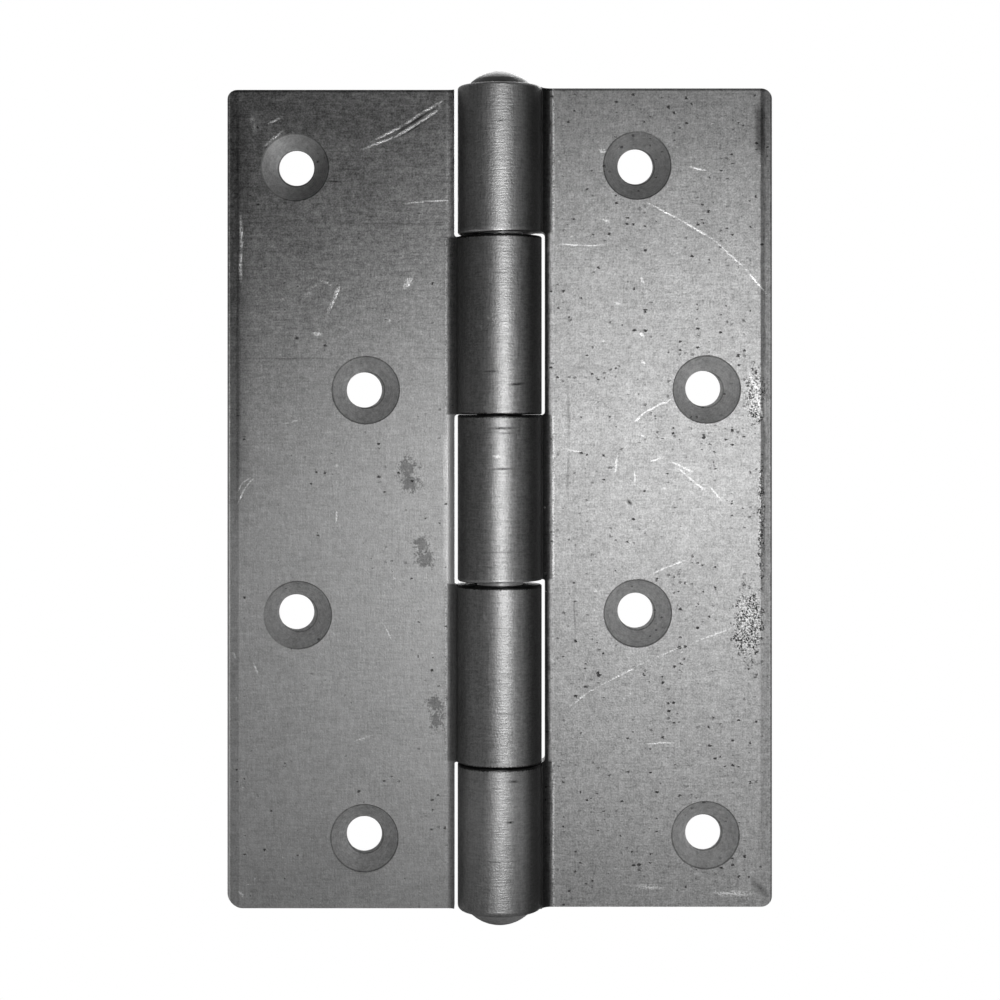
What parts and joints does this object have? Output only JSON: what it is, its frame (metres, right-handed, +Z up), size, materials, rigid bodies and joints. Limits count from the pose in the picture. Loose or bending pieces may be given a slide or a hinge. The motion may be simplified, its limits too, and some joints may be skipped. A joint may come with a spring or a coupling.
{
  "type": "butt hinge",
  "caption": "Steel butt hinge with rectangular leaves, rolled knuckles round a fixed pin with peened domed ends, and countersunk screw holes.",
  "frame": {"origin": "on the pin axis at mid-height of the barrel", "axes": "+Z up along the pin as fitted to a door; -Y towards the countersunk front face; +X towards the edge of the right leaf, -X towards the edge of the left leaf, hinge lying open and flat"},
  "size_m": [0.1016, 0.0156, 0.1582],
  "materials": {
    "leaf_right": "satin, lightly scratched bare steel",
    "leaf_left": "satin, lightly scratched bare steel",
    "pin": "satin steel, peened ends"
  },
  "bodies": {
    "fixed_leaf": {"leaf_right": "leaf_right", "pin": "pin"},
    "moving_leaf": {"leaf_left": "leaf_left"}
  },
  "joints": [
    {"name": "leaf_swing", "type": "hinge", "parent": "fixed_leaf", "child": "moving_leaf", "pos_m": [0, 0, 0], "axis": [0, 0, 1], "range_deg": [-115, 180]}
  ]
}
